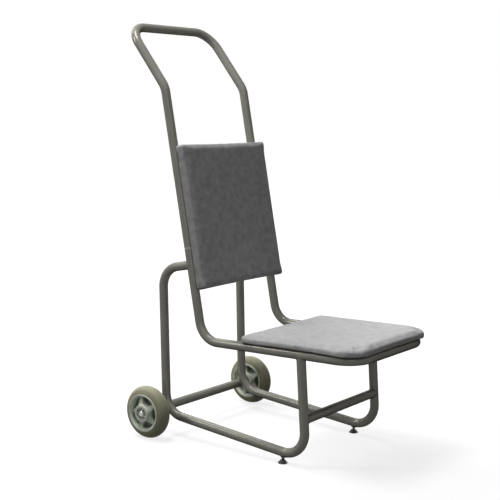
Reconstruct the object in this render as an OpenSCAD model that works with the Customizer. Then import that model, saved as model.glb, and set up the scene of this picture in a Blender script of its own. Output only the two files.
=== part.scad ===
// Stacking chair trolley: a bent tube frame with a padded seat and back, two wheels on one axle
// at the rear and two levelling feet at the front.
// The seat faces -Y and +Z is up. Left and right are as seen from in front of the seat.
// The origin is on the floor under the middle of the trolley.

/* [Frame tube] */
// Outside diameter of the frame tube
tube_d = 25; // [23:0.5:27]
// Wall thickness of the frame tube
tube_wall = 1.5; // [1.2:0.1:2]
// Bend radius on the tube's centre line
bend_r = 62.5; // [56:0.5:68]
// Distance between the centre lines of the two sides
frame_w = 350; // [320:2:400]

/* [Back and handle] */
// Lean of the uprights from vertical
back_lean = 11.3; // [8:0.1:14]
// Upright, from the seat corner to the handle corner
upright_l = 711; // [690:1:760]
// Lean of the handle legs from vertical
handle_lean = 39.2; // [30:0.1:45]
// Handle leg, from its lower corner to the grip bar
handle_l = 219; // [180:1:260]
// Joint between the two hoops, below the handle corner
joint_drop = 451; // [440:1:456]
// Length of the spigot inside the joint
spigot_l = 100; // [60:2:120]
// Groove left between the two tube ends at the joint
joint_groove = 0.4; // [0.2:0.1:1]

/* [Seat frame] */
// Seat corner ahead of the axle
seat_corner_y = 147.7; // [135:0.1:160]
// Height of the seat corner
seat_corner_z = 291.7; // [280:0.1:310]
// Rise of the seat towards the front
seat_rise = 1.6; // [0:0.1:4]
// Seat rail, from the seat corner to the front bar
seat_l = 502; // [480:1:540]

/* [Base frame] */
// Fall of the bottom rails towards the front
rail_fall = 4.5; // [3.5:0.1:5.5]
// Front corner of the bottom rail ahead of the axle
rail_front_y = 502; // [480:1:520]
// Height of the bottom rail's front corner
rail_front_z = 24.5; // [23:0.5:28]
// Lean of the front legs from vertical
front_leg_lean = 4.3; // [2:0.1:6]
// Lean of the rear legs from vertical
rear_leg_lean = 1.9; // [0:0.1:4]
// Where the top of the rear leg meets the upright, below the handle corner
stub_drop = 498; // [485:1:510]
// Height of the front cross tube
front_tube_z = 130; // [110:1:160]

/* [Wheels] */
// Wheel diameter over the tyre
wheel_d = 150; // [144:1:156]
// Width of the tyre
tyre_w = 45; // [42:0.5:47]
// Depth of the tyre's seat in the rim
rim_lip = 5; // [4:0.25:6]
// Thickness of the rim's outer wall
rim_wall = 3.2; // [2.8:0.1:4]
// Diameter of the hub
hub_d = 50; // [46:0.5:52]
// Length of the hub
hub_l = 60; // [57:0.5:64]
// Number of spokes on each face
spokes = 5; // [4:1:6]
// Width of a spoke at the rim
spoke_w = 9; // [6:0.5:11]
// Widening of a spoke on each side at the hub
spoke_flare = 5.5; // [3:0.5:6]
// Thickness of the web behind the spokes
web_t = 8; // [6:0.5:10]
// Turn of the spokes round the axle
spoke_turn = 18; // [0:1:72]

/* [Axle] */
// Diameter of the axle rod
axle_d = 15; // [14:0.5:16]
// Thread diameter at the ends of the axle rod
thread_d = 12; // [10:0.5:13]
// Axle tube beyond the side frame
axle_over = 18.5; // [16:0.5:24]
// Gap between the axle tube and the hub
hub_clear = 2.5; // [2:0.5:6]
// Outside diameter of a wheel bearing
bearing_d = 35; // [34:0.5:36]
// Width of a wheel bearing
bearing_w = 11; // [10:0.5:12]
// Depth of the bearings below the ends of the hub
bearing_recess = 14; // [12:0.5:15]
// Diameter of a bearing ball
ball_d = 6; // [5:0.25:6.25]
// Number of balls in a bearing
balls = 8; // [6:1:9]
// Diameter of the axle washer
washer_d = 24; // [22:0.5:26]
// Thickness of the axle washer
washer_t = 2.5; // [2:0.5:3]
// Cap nut across its flats
nut_af = 19; // [18:0.5:20]
// Height of the hexagon of the cap nut
nut_hex_h = 8; // [7:0.5:9]
// Diameter of the axle spacer
spacer_d = 22; // [20:0.5:23]
// Length of the plugs in the axle tube
plug_l = 25; // [16:1:40]

/* [Seat pad] */
// Overhang of the seat cushion beyond the tube
seat_over = 3.5; // [2:0.5:6]
// Rear edge of the seat cushion ahead of the seat corner
seat_pad_back = 143; // [130:1:155]
// Thickness of the seat board
seat_board_t = 9; // [8:0.5:12]
// Cover of the cushion round the board's edge, inside the tube's outer line
seat_skirt = 3; // [2.5:0.5:5]
// Height of the board's edge left bare below the cushion
seat_board_show = 3.5; // [2.5:0.5:5]
// Thickness of the seat cushion at its edge
seat_pad_t = 16.5; // [15:0.5:22]
// Rise of the seat cushion's middle above its edge
seat_crown = 4; // [2:0.5:8]
// Rounding of the seat cushion's top edge
seat_edge_r = 8; // [5:0.5:9]

/* [Back pad] */
// Top of the back pad below the handle corner
back_pad_top = 165; // [155:1:180]
// Length of the back pad
back_pad_l = 406; // [390:2:430]
// Edge of the back pad inside the tube's outer line
back_inset = 2.5; // [0:0.5:5]
// Thickness of the back board
back_board_t = 9; // [8:0.5:12]
// Thickness of the back pad at its edge
back_pad_t = 31; // [28:0.5:36]
// Rise of the back pad's middle above its edge
back_crown = 3; // [2:0.5:6]
// Rounding of the back pad's front edge
back_edge_r = 13; // [9:0.5:14]

/* [Pad fixings] */
// Thickness of the welded tabs
tab_t = 3; // [2.5:0.5:4]
// Length of the welded tabs
tab_l = 30; // [24:1:40]
// Reach of the tabs inward from the tube's centre line
tab_reach = 32; // [30:1:38]
// Diameter of the pad screws
screw_d = 4.5; // [4:0.25:5]
// Diameter of the pad screws' heads
screw_head_d = 9; // [8:0.5:10]
// Height of the pad screws' heads
screw_head_h = 3; // [2.5:0.25:3.5]
// Depth of the pad screws in the boards
screw_grip = 7; // [5:0.5:7.5]
// Pad screws from the inner end of their tabs
screw_in = 10; // [8:0.5:12]
// Rear seat tabs ahead of the cushion's rear edge
seat_tab_rear = 60; // [40:1:90]
// Front seat tabs behind the front bar
seat_tab_front = 100; // [85:1:130]
// Upper back tabs below the pad's top
back_tab_top = 65; // [40:1:100]
// Lower back tabs above the pad's bottom
back_tab_low = 50; // [40:1:60]

/* [Feet] */
// Foot behind the front corner of the bottom rail
foot_back = 72; // [66:1:90]
// Diameter of the foot pad
foot_d = 26; // [24:0.5:32]
// Height of the foot pad
foot_h = 9.5; // [9:0.25:10]
// Diameter of the foot's stud
stud_d = 8; // [7:0.5:9]
// Diameter of the ball on the stud
foot_ball_d = 9; // [8.5:0.25:9.5]
// Height of the ball above the floor
foot_ball_z = 6; // [5.75:0.25:6.25]
// Diameter of the threaded insert
insert_d = 11; // [10.5:0.5:12]

/* [Hidden] */
$fn = 64;
left = -1;
right = 1;
weld_gap = 0.1;
slip_gap = 0.05;
screw_gap = 0.3;
face_gap = 0.02;
bend_swell = 0.05;
lap = 0.5;
draw_in = 2.5;
hem = 1.5;
tab_root = 5;
half_w = frame_w / 2;
tube_r = tube_d / 2;
tube_bore = tube_d - 2 * tube_wall;

// Where a line from a point crosses another line, given that line's normal
function meet(from, along, on, normal) = from + along * ((on - from) * normal) / (along * normal);

// Corners of the frame in side view, as distance behind the axle and height
up_back = [sin(back_lean), cos(back_lean)];
up_handle = [sin(handle_lean), cos(handle_lean)];
seat_ahead = [-cos(seat_rise), sin(seat_rise)];
seat_up = [sin(seat_rise), cos(seat_rise)];
rail_back = [cos(rail_fall), sin(rail_fall)];
rail_up = [-sin(rail_fall), cos(rail_fall)];
front_leg_up = [sin(front_leg_lean), cos(front_leg_lean)];
rear_leg_out = [cos(rear_leg_lean), -sin(rear_leg_lean)];
stub_back = [cos(back_lean), -sin(back_lean)];
axle = [0, wheel_d / 2];
seat_corner = [-seat_corner_y, seat_corner_z];
seat_front = seat_corner + seat_l * seat_ahead;
handle_corner = seat_corner + upright_l * up_back;
grip = handle_corner + handle_l * up_handle;
joint = handle_corner - joint_drop * up_back;
stub_end = handle_corner - stub_drop * up_back;
rail_front = [-rail_front_y, rail_front_z];

// The bend at the rear of the bottom rail rests on the axle tube
bend_lift = (axle - rail_front) * rail_up - bend_r;
bend_reach = bend_r + bend_swell + tube_d + weld_gap;
bend_ahead = sqrt(pow(bend_reach, 2) - pow(bend_lift, 2));
bend_centre = axle - bend_lift * rail_up - bend_ahead * rail_back;
rear_leg_at = bend_centre + bend_r * rear_leg_out;
rail_rear = meet(rail_front, rail_back, rear_leg_at, rear_leg_out);
stub_corner = meet(stub_end, stub_back, rear_leg_at, rear_leg_out);
leg_top = meet(rail_front, front_leg_up, seat_corner, seat_up);
front_tube = meet(rail_front, front_leg_up, [0, front_tube_z], [0, 1]);
foot_at = rail_front + foot_back * rail_back;
foot_drop = (foot_at[1] - foot_ball_z) / cos(rail_fall);
foot_ball = foot_at - foot_drop * rail_up;

// The middle of the trolley's length
seat_pad_front = seat_l + tube_r + seat_over;
front_end = seat_corner[0] - seat_pad_front * cos(seat_rise) - (tube_r + seat_board_show) * sin(-seat_rise);
back_end = grip[0] + tube_r;
middle = (front_end + back_end) / 2;
function at(x, p) = [x, p[0] - middle, p[1]];

// Sizes across the axle
tube_end = half_w + tube_r + axle_over;
wheel_mid = tube_end + hub_clear + hub_l / 2;
bearing_mid = hub_l / 2 - bearing_recess - bearing_w / 2;
bearing_in = bearing_mid - bearing_w / 2;
bearing_out = bearing_mid + bearing_w / 2;
pitch_r = (axle_d + bearing_d) / 4;
race_gap = 2.2;
seal_t = 0.8;
seal_sink = 0.4;
seal_gap = 0.3;
sleeve_wall = 2;
thread_l = washer_t + nut_hex_h + 1;
nut_edge = 0.6;

// Sizes of the rim
lip_over = 1.5;
lip_t = 3.5;
lip_edge = 0.8;
rim_draft = 1.5;
rim_fillet = 3;
hub_edge = 1.5;
bearing_shoulder = 4;
lip_r = wheel_d / 2 - tyre_w / 2 + lip_over;
bed_r = lip_r - rim_lip;
lip_z = tyre_w / 2 + lip_over;
bed_z = lip_z - lip_t;
rim_in_r = bed_r - rim_wall - rim_draft;
rim_mid_r = bed_r - rim_wall;
rim_mid_z = bed_z - 1;
rim_out_r = lip_r - lip_t - lip_edge / 2;

// Paths of the bent tubes
function unit(v) = v / norm(v);
function turn(p, i) = acos(unit(p[i] - p[i - 1]) * unit(p[i + 1] - p[i]));
function trim_at(p, i) = i == 0 || i == len(p) - 1 ? 0 : bend_r * tan(turn(p, i) / 2);
function ahead(p, i) = unit(p[i + 1] - p[i]);
function square_to(a, b) = unit(b - (b * a) * a);

module frame_at(o, x, y, z) {
    multmatrix([[x[0], y[0], z[0], o[0]], [x[1], y[1], z[1], o[1]], [x[2], y[2], z[2], o[2]]])
        children();
}

module rod(a, b, d, spare = 0) {
    z = unit(b - a);
    x = square_to(z, abs(z[0]) < 0.9 ? [1, 0, 0] : [0, 0, 1]);
    frame_at(a - z * spare, x, cross(z, x), z)
        cylinder(d = d, h = norm(b - a) + 2 * spare);
}

module straight(p, i, d, spare) {
    z = ahead(p, i);
    from = i == 0 ? -spare : trim_at(p, i) - lap;
    to = norm(p[i + 1] - p[i]) + (i == len(p) - 2 ? spare : lap - trim_at(p, i + 1));
    rod(p[i] + z * from, p[i] + z * to, d);
}

module bend(p, i, d) {
    y = ahead(p, i - 1);
    x = -square_to(y, ahead(p, i));
    start = p[i] - y * trim_at(p, i);
    frame_at(start - x * bend_r, x, y, cross(x, y))
        rotate_extrude(angle = turn(p, i))
            translate([bend_r, 0])
                circle(d = d + 2 * bend_swell);
}

module bent_rod(p, d, spare = 0) {
    for (i = [0 : len(p) - 2])
        straight(p, i, d, spare);
    for (i = [1 : len(p) - 2])
        bend(p, i, d);
}

module bent_tube(p) {
    difference() {
        bent_rod(p, tube_d);
        bent_rod(p, tube_bore, 1);
    }
}

// Places that pieces are drawn from
module seat_place() {
    translate(at(0, seat_corner))
        rotate([-seat_rise, 0, 0])
            children();
}

module back_place() {
    translate(at(0, handle_corner))
        rotate([-back_lean, 0, 0])
            children();
}

module on_axle(side) {
    translate(at(side * wheel_mid, axle))
        rotate([0, side * 90, 0])
            children();
}

module foot_place(side) {
    translate(at(side * half_w, foot_at))
        rotate([rail_fall, 0, 0])
            children();
}

module ring(inner_d, outer_d, h) {
    difference() {
        cylinder(d = outer_d, h = h);
        translate([0, 0, -1])
            cylinder(d = inner_d, h = h + 2);
    }
}

// Frame tubes
module handle_hoop() {
    end = joint + joint_groove / 2 * up_back;
    color([0.52, 0.53, 0.50])
        bent_tube([
            at(-half_w, end), at(-half_w, handle_corner), at(-half_w, grip),
            at(half_w, grip), at(half_w, handle_corner), at(half_w, end)
        ]);
}

module seat_hoop() {
    end = joint - joint_groove / 2 * up_back;
    color([0.52, 0.53, 0.50])
        bent_tube([
            at(-half_w, end), at(-half_w, seat_corner), at(-half_w, seat_front),
            at(half_w, seat_front), at(half_w, seat_corner), at(half_w, end)
        ]);
}

module joint_spigot(side) {
    low = joint - spigot_l / 2 * up_back;
    high = joint + spigot_l / 2 * up_back;
    color([0.40, 0.40, 0.39])
        difference() {
            rod(at(side * half_w, low), at(side * half_w, high), tube_bore - 2 * slip_gap);
            rod(at(side * half_w, low), at(side * half_w, high), tube_bore - 2 * sleeve_wall, 1);
        }
}

module side_frame(side) {
    x = side * half_w;
    color([0.52, 0.53, 0.50])
        difference() {
            bent_tube([
                at(x, leg_top), at(x, rail_front), at(x, rail_rear),
                at(x, stub_corner), at(x, stub_end)
            ]);
            rod(at(x, seat_corner), at(x, seat_front), tube_d + 2 * weld_gap);
            rod(at(x, seat_corner), at(x, handle_corner), tube_d + 2 * weld_gap);
            foot_place(side)
                translate([0, 0, -tube_d])
                    cylinder(d = insert_d + 2 * slip_gap, h = tube_d);
        }
}

module front_cross_tube() {
    color([0.52, 0.53, 0.50])
        difference() {
            rod(at(-half_w, front_tube), at(half_w, front_tube), tube_d);
            rod(at(-half_w, front_tube), at(half_w, front_tube), tube_bore, 1);
            for (side = [left, right])
                rod(at(side * half_w, rail_front), at(side * half_w, leg_top), tube_d + 2 * weld_gap);
        }
}

module axle_tube() {
    color([0.52, 0.53, 0.50])
        difference() {
            rod(at(-tube_end, axle), at(tube_end, axle), tube_d);
            rod(at(-tube_end, axle), at(tube_end, axle), tube_bore, 1);
        }
}

// Tabs that carry the boards, drawn with the board's face at the top of the tube
screw_x = half_w - tab_reach + screw_in;
screw_slot = 1;

module tab(side) {
    difference() {
        translate([side > 0 ? half_w - tab_reach : tab_root - half_w, -tab_l / 2, tube_r - tab_t])
            cube([tab_reach - tab_root, tab_l, tab_t]);
        translate([side * half_w, -tab_l, 0])
            rotate([-90, 0, 0])
                cylinder(d = tube_d + 2 * weld_gap, h = 2 * tab_l);
        translate([side * screw_x, 0, 0])
            cylinder(d = screw_d + 2 * screw_gap, h = tube_d);
    }
}

module screw(side) {
    translate([side * screw_x, 0, tube_r - tab_t - face_gap])
        difference() {
            union() {
                cylinder(d = screw_d, h = tab_t + screw_grip);
                translate([0, 0, -screw_head_h])
                    cylinder(d1 = screw_head_d - screw_head_h, d2 = screw_head_d, h = screw_head_h / 2);
                translate([0, 0, -screw_head_h / 2])
                    cylinder(d = screw_head_d, h = screw_head_h / 2);
            }
            for (a = [0, 90])
                rotate([0, 0, a])
                    translate([-screw_d / 2, -screw_slot / 2, -screw_head_h - 1])
                        cube([screw_d, screw_slot, 1 + screw_head_h / 2]);
        }
}

module screw_hole(side) {
    translate([side * screw_x, 0, 0])
        cylinder(d = screw_d + 2 * slip_gap, h = tube_r + screw_grip + screw_gap);
}

// Soft pads: rounded edges, a crowned face and sides drawn in between the corners
function arc(c, r, from) = [for (k = [0 : 6]) c + r * [cos(from + 15 * k), sin(from + 15 * k)]];
function side_points(a, b, depth) =
    [for (k = [1 : 5]) a + (b - a) * k / 6 + unit([a[1] - b[1], b[0] - a[0]]) * depth * k * (6 - k) / 9];
function pad_outline(w, l, front_r, rear_r, depth) = let (
    fr = arc([w / 2 - front_r, front_r - l / 2], front_r, -90),
    rr = arc([w / 2 - rear_r, l / 2 - rear_r], rear_r, 0),
    rl = arc([rear_r - w / 2, l / 2 - rear_r], rear_r, 90),
    fl = arc([front_r - w / 2, front_r - l / 2], front_r, 180)
) concat(
    fr, side_points(fr[6], rr[0], depth), rr, side_points(rr[6], rl[0], depth),
    rl, side_points(rl[6], fl[0], depth), fl, side_points(fl[6], fr[0], depth)
);
function pad_levels(t, edge_r) = concat(
    [[hem, 0, 1], [0, 2 * hem, 1]],
    [for (k = [0 : 4]) [edge_r * (1 - cos(22.5 * k)), t - edge_r * (1 - sin(22.5 * k)), 1]],
    [for (k = [1 : 4]) [edge_r, t, 1 - k / 5]]
);
function swell(p, w, l) = (1 - pow(2 * p[0] / w, 2)) * (1 - pow(2 * p[1] / l, 2));
function pad_point(p, w, l, t, crown, level) = let (
    q = [p[0] * (1 - 2 * level[0] / w), p[1] * (1 - 2 * level[0] / l)] * level[2]
) [q[0], q[1], level[1] + crown * swell(q, w, l) * level[1] / t];

module pad(w, l, t, front_r, rear_r, edge_r, crown) {
    rim = pad_outline(w, l, front_r, rear_r, draw_in);
    n = len(rim);
    levels = pad_levels(t, edge_r);
    last = n * len(levels) + 1;
    points = concat(
        [[0, 0, 0]],
        [for (level = levels) for (p = rim) pad_point(p, w, l, t, crown, level)],
        [[0, 0, t + crown]]
    );
    under = [for (k = [0 : n - 1]) [0, k + 1, (k + 1) % n + 1]];
    low = [for (j = [0 : len(levels) - 2]) for (k = [0 : n - 1])
        [j * n + k + 1, (j + 1) * n + k + 1, (j + 1) * n + (k + 1) % n + 1]];
    high = [for (j = [0 : len(levels) - 2]) for (k = [0 : n - 1])
        [j * n + k + 1, (j + 1) * n + (k + 1) % n + 1, j * n + (k + 1) % n + 1]];
    cap = [for (k = [0 : n - 1]) [last, last - n + (k + 1) % n, last - n + k]];
    polyhedron(points, concat(under, low, high, cap));
}

// Seat
seat_pad_w = frame_w + tube_d + 2 * seat_over;
seat_pad_l = seat_pad_front - seat_pad_back;
seat_pad_mid = -(seat_pad_front + seat_pad_back) / 2;
seat_front_r = bend_r + tube_r + seat_over;
seat_rear_r = 13;
seat_board_in = seat_over + seat_skirt;
seat_fixing_y = [-seat_pad_back - seat_tab_rear, seat_tab_front - seat_l];
seat_board_z = tube_r + face_gap;

module seat_board_outline(grow) {
    polygon(pad_outline(
        seat_pad_w - 2 * seat_board_in + 2 * grow, seat_pad_l - 2 * seat_board_in + 2 * grow,
        seat_front_r - seat_board_in + grow, seat_rear_r - seat_board_in + grow, 0
    ));
}

module seat_tabs() {
    color([0.52, 0.53, 0.50])
        seat_place()
            for (y = seat_fixing_y)
                for (side = [left, right])
                    translate([0, y, 0])
                        tab(side);
}

module seat_screws() {
    color([0.66, 0.66, 0.64])
        seat_place()
            for (y = seat_fixing_y)
                for (side = [left, right])
                    translate([0, y, 0])
                        screw(side);
}

module seat_board() {
    color([0.20, 0.11, 0.08])
        seat_place()
            difference() {
                translate([0, seat_pad_mid, seat_board_z])
                    linear_extrude(seat_board_t)
                        seat_board_outline(0);
                for (y = seat_fixing_y)
                    for (side = [left, right])
                        translate([0, y, 0])
                            screw_hole(side);
            }
}

module seat_cushion() {
    color([0.36, 0.36, 0.37])
        seat_place()
            translate([0, seat_pad_mid, seat_board_z + seat_board_show])
                difference() {
                    pad(
                        seat_pad_w, seat_pad_l, seat_pad_t,
                        seat_front_r, seat_rear_r, seat_edge_r, seat_crown
                    );
                    translate([0, 0, -1])
                        linear_extrude(1 + seat_board_t - seat_board_show + face_gap)
                            seat_board_outline(slip_gap);
                }
}

// Back
back_pad_w = frame_w + tube_d - 2 * back_inset;
back_pad_mid = -back_pad_top - back_pad_l / 2;
back_corner_r = 13;
back_board_in = 8;
back_fixing_y = [-back_pad_top - back_tab_top, back_tab_low - back_pad_top - back_pad_l];

module on_back() {
    back_place()
        rotate([90, 0, 0])
            children();
}

module back_board_outline(grow) {
    r = back_corner_r - back_board_in + grow;
    polygon(pad_outline(
        back_pad_w - 2 * back_board_in + 2 * grow, back_pad_l - 2 * back_board_in + 2 * grow, r, r, 0
    ));
}

module back_tabs() {
    color([0.52, 0.53, 0.50])
        on_back()
            for (y = back_fixing_y)
                for (side = [left, right])
                    translate([0, y, 0])
                        tab(side);
}

module back_screws() {
    color([0.66, 0.66, 0.64])
        on_back()
            for (y = back_fixing_y)
                for (side = [left, right])
                    translate([0, y, 0])
                        screw(side);
}

module back_board() {
    color([0.20, 0.11, 0.08])
        on_back()
            difference() {
                translate([0, back_pad_mid, tube_r + face_gap])
                    linear_extrude(back_board_t)
                        back_board_outline(0);
                for (y = back_fixing_y)
                    for (side = [left, right])
                        translate([0, y, 0])
                            screw_hole(side);
            }
}

module back_pad() {
    color([0.28, 0.28, 0.29])
        on_back()
            translate([0, back_pad_mid, tube_r + face_gap])
                difference() {
                    pad(
                        back_pad_w, back_pad_l, back_pad_t,
                        back_corner_r, back_corner_r, back_edge_r, back_crown
                    );
                    translate([0, 0, -1])
                        linear_extrude(1 + back_board_t + face_gap)
                            back_board_outline(slip_gap);
                }
}

// Axle
axle_reach = wheel_mid + bearing_out;

module axle_rod() {
    color([0.62, 0.62, 0.60])
        union() {
            rod(at(-axle_reach, axle), at(axle_reach, axle), axle_d);
            rod(at(-axle_reach - thread_l, axle), at(axle_reach + thread_l, axle), thread_d);
        }
}

module axle_plug(side) {
    color([0.40, 0.40, 0.39])
        on_axle(side)
            translate([0, 0, tube_end - wheel_mid - plug_l])
                ring(axle_d + 2 * slip_gap, tube_bore - 2 * slip_gap, plug_l);
}

module axle_spacer(side) {
    color([0.66, 0.66, 0.64])
        on_axle(side)
            translate([0, 0, tube_end - wheel_mid + face_gap])
                ring(axle_d + 2 * slip_gap, spacer_d, wheel_mid - bearing_out - tube_end - 2 * face_gap);
}

module axle_washers() {
    color([0.66, 0.66, 0.64])
        for (side = [left, right])
            on_axle(side)
                translate([0, 0, bearing_out + face_gap])
                    ring(thread_d + 2 * slip_gap, washer_d, washer_t);
}

module cap_nut(side) {
    color([0.72, 0.72, 0.71])
        on_axle(side)
            translate([0, 0, bearing_out + washer_t + 2 * face_gap])
                difference() {
                    union() {
                        intersection() {
                            cylinder(d = nut_af / cos(30), h = nut_hex_h, $fn = 6);
                            cylinder(d1 = nut_af + 2 * nut_hex_h / tan(30), d2 = nut_af - nut_edge, h = nut_hex_h);
                        }
                        intersection() {
                            translate([0, 0, nut_hex_h - nut_edge])
                                sphere(d = nut_af - 2 * nut_edge);
                            translate([0, 0, nut_hex_h / 2])
                                cylinder(d = 2 * nut_af, h = 2 * nut_af);
                        }
                    }
                    translate([0, 0, -1])
                        cylinder(d = thread_d + 2 * slip_gap, h = nut_hex_h + 2 + nut_edge);
                }
}

// Wheels, drawn along Z with the outer face up
function round_in(c, from) =
    [for (k = [0 : 4]) c + rim_fillet * [cos(from + 22.5 * k), sin(from + 22.5 * k)]];
rim_half = concat(
    [
        [bearing_d / 2 - bearing_shoulder, bearing_in], [bearing_d / 2 + slip_gap, bearing_in],
        [bearing_d / 2 + slip_gap, hub_l / 2], [hub_d / 2 - hub_edge, hub_l / 2],
        [hub_d / 2, hub_l / 2 - hub_edge]
    ],
    round_in([hub_d / 2 + rim_fillet, web_t / 2 + rim_fillet], 180),
    round_in([rim_in_r - rim_fillet, web_t / 2 + rim_fillet], 270),
    [
        [rim_mid_r, rim_mid_z], [rim_out_r, lip_z], [lip_r - lip_edge, lip_z],
        [lip_r, lip_z - lip_edge], [lip_r, bed_z], [bed_r, bed_z]
    ]
);
rim_profile = concat(rim_half, [for (i = [len(rim_half) - 1 : -1 : 0]) [rim_half[i][0], -rim_half[i][1]]]);
spoke_drop = 7;
spoke_sink = 1;
spoke_hub_z = hub_l / 2 - spoke_drop;
spoke_rim_z = lip_z / 2 + 1;
rim_slope = rim_draft / (rim_mid_z - web_t / 2 - rim_fillet);
spoke_rim_r = rim_in_r + rim_slope * (spoke_rim_z - web_t / 2 - rim_fillet);

function spoke_half(i) = spoke_w / 2 + spoke_flare * pow(1 - i / 6, 2);
function spoke_r(i) = hub_d / 2 - 2 * spoke_sink + (spoke_rim_r + 4 * spoke_sink - hub_d / 2) * i / 6;

module spoke_face(start) {
    intersection() {
        translate([0, 0, web_t / 2 - 2 * spoke_sink])
            linear_extrude(hub_l)
                for (k = [1 : spokes])
                    rotate(start + 360 / spokes * k)
                        polygon(concat(
                            [for (i = [0 : 6]) [spoke_r(i), -spoke_half(i)]],
                            [for (i = [6 : -1 : 0]) [spoke_r(i), spoke_half(i)]]
                        ));
        rotate_extrude()
            polygon([
                [hub_d / 2 - spoke_sink, web_t / 2 - spoke_sink],
                [rim_in_r + spoke_sink, web_t / 2 - spoke_sink],
                [spoke_rim_r + spoke_sink, spoke_rim_z], [hub_d / 2 - spoke_sink, spoke_hub_z]
            ]);
    }
}

module rim(side) {
    color([0.78, 0.78, 0.76])
        on_axle(side)
            union() {
                rotate_extrude()
                    polygon(rim_profile);
                spoke_face(spoke_turn);
                rotate([180, 0, 0])
                    spoke_face(-spoke_turn);
            }
}

module tyre(side) {
    color([0.56, 0.56, 0.50])
        on_axle(side)
            rotate_extrude()
                difference() {
                    translate([wheel_d / 2 - tyre_w / 2, 0])
                        circle(d = tyre_w);
                    translate([0, -tyre_w])
                        square([bed_r + slip_gap, 2 * tyre_w]);
                    translate([0, bed_z - slip_gap])
                        square([lip_r + slip_gap, tyre_w]);
                    translate([0, slip_gap - bed_z - tyre_w])
                        square([lip_r + slip_gap, tyre_w]);
                }
}

module each_bearing(side) {
    on_axle(side)
        for (z = [-bearing_mid, bearing_mid])
            translate([0, 0, z])
                children();
}

module bearing_outers(side) {
    r = pitch_r + race_gap;
    color([0.62, 0.62, 0.60])
        each_bearing(side)
            rotate_extrude()
                difference() {
                    translate([r, -bearing_w / 2])
                        square([bearing_d / 2 - r, bearing_w]);
                    translate([pitch_r, 0])
                        circle(d = ball_d + 2 * slip_gap);
                }
}

module bearing_inners(side) {
    r = axle_d / 2 + slip_gap;
    color([0.62, 0.62, 0.60])
        each_bearing(side)
            rotate_extrude()
                difference() {
                    translate([r, -bearing_w / 2])
                        square([pitch_r - race_gap - r, bearing_w]);
                    translate([pitch_r, 0])
                        circle(d = ball_d + 2 * slip_gap);
                }
}

module bearing_balls(side) {
    color([0.72, 0.72, 0.71])
        each_bearing(side)
            for (k = [1 : balls])
                rotate([0, 0, 360 / balls * k])
                    translate([pitch_r, 0, 0])
                        sphere(d = ball_d);
}

module bearing_seals(side) {
    inner = 2 * (pitch_r - race_gap + seal_gap);
    outer = 2 * (pitch_r + race_gap - slip_gap);
    color([0.08, 0.08, 0.08])
        each_bearing(side)
            for (z = [seal_sink - bearing_w / 2, bearing_w / 2 - seal_sink - seal_t])
                translate([0, 0, z])
                    ring(inner, outer, seal_t);
}

module bearing_sleeve(side) {
    color([0.40, 0.40, 0.39])
        on_axle(side)
            translate([0, 0, face_gap - bearing_in])
                ring(axle_d + 2 * slip_gap, axle_d + 2 * sleeve_wall, 2 * (bearing_in - face_gap));
}

// Feet
neck_d = 5;
neck_l = 5.5;
insert_flange = 1.6;
insert_brim = 1.5;
insert_top = 2;
foot_top_d = 13;
foot_edge = 0.6;
foot_brim_h = 3;
foot_brim = 2.5;
mouth_gap = 1;

module foot_insert(side) {
    color([0.66, 0.66, 0.64])
        foot_place(side)
            difference() {
                union() {
                    translate([0, 0, -tube_r - insert_flange])
                        cylinder(d = insert_d, h = tube_r + insert_flange + insert_top);
                    difference() {
                        translate([0, 0, -tube_r - insert_flange])
                            cylinder(d = insert_d + 2 * insert_brim, h = insert_d / 2);
                        rotate([90, 0, 0])
                            translate([0, 0, -tube_d])
                                cylinder(d = tube_d + 2 * slip_gap, h = 2 * tube_d);
                    }
                }
                translate([0, 0, -tube_d])
                    cylinder(d = stud_d + 2 * slip_gap, h = 2 * tube_d);
            }
}

module foot_stud(side) {
    color([0.40, 0.40, 0.39])
        foot_place(side)
            translate([0, 0, -foot_drop])
                union() {
                    sphere(d = foot_ball_d);
                    cylinder(d = neck_d, h = neck_l + 1);
                    translate([0, 0, neck_l])
                        cylinder(d = stud_d, h = foot_drop + insert_top - 1 - neck_l);
                    translate([0, 0, foot_drop + insert_top - 1])
                        cylinder(d1 = stud_d, d2 = stud_d - 2, h = 1);
                }
}

module foot_pad(side) {
    color([0.09, 0.09, 0.09])
        translate(at(side * half_w, [foot_ball[0], 0]))
            rotate_extrude()
                difference() {
                    polygon([
                        [0, 0], [foot_d / 2 - foot_edge, 0], [foot_d / 2, foot_edge],
                        [foot_d / 2, foot_brim_h - foot_edge], [foot_d / 2 - foot_edge, foot_brim_h],
                        [foot_d / 2 - foot_brim, foot_brim_h + foot_edge], [foot_top_d / 2, foot_h], [0, foot_h]
                    ]);
                    translate([0, foot_ball_z])
                        circle(d = foot_ball_d + 2 * slip_gap);
                    polygon([
                        [0, foot_ball_z], [neck_d / 2 + mouth_gap / 2, foot_ball_z],
                        [neck_d / 2 + mouth_gap, foot_ball_z + foot_ball_d / 3],
                        [neck_d / 2 + 2 * mouth_gap, foot_h + 1], [0, foot_h + 1]
                    ]);
                }
}

handle_hoop();
seat_hoop();
joint_spigot(left);  // left_joint_spigot
joint_spigot(right);  // right_joint_spigot
side_frame(left);  // left_side_frame
side_frame(right);  // right_side_frame
front_cross_tube();
axle_tube();
seat_tabs();
seat_board();
seat_cushion();
seat_screws();
back_tabs();
back_board();
back_pad();
back_screws();
axle_rod();
axle_plug(left);  // left_axle_plug
axle_plug(right);  // right_axle_plug
axle_spacer(left);  // left_axle_spacer
axle_spacer(right);  // right_axle_spacer
axle_washers();
cap_nut(left);  // left_cap_nut
cap_nut(right);  // right_cap_nut
tyre(left);  // left_tyre
rim(left);  // left_rim
bearing_outers(left);  // left_bearing_outers
bearing_inners(left);  // left_bearing_inners
bearing_balls(left);  // left_bearing_balls
bearing_seals(left);  // left_bearing_seals
bearing_sleeve(left);  // left_bearing_sleeve
tyre(right);  // right_tyre
rim(right);  // right_rim
bearing_outers(right);  // right_bearing_outers
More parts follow.
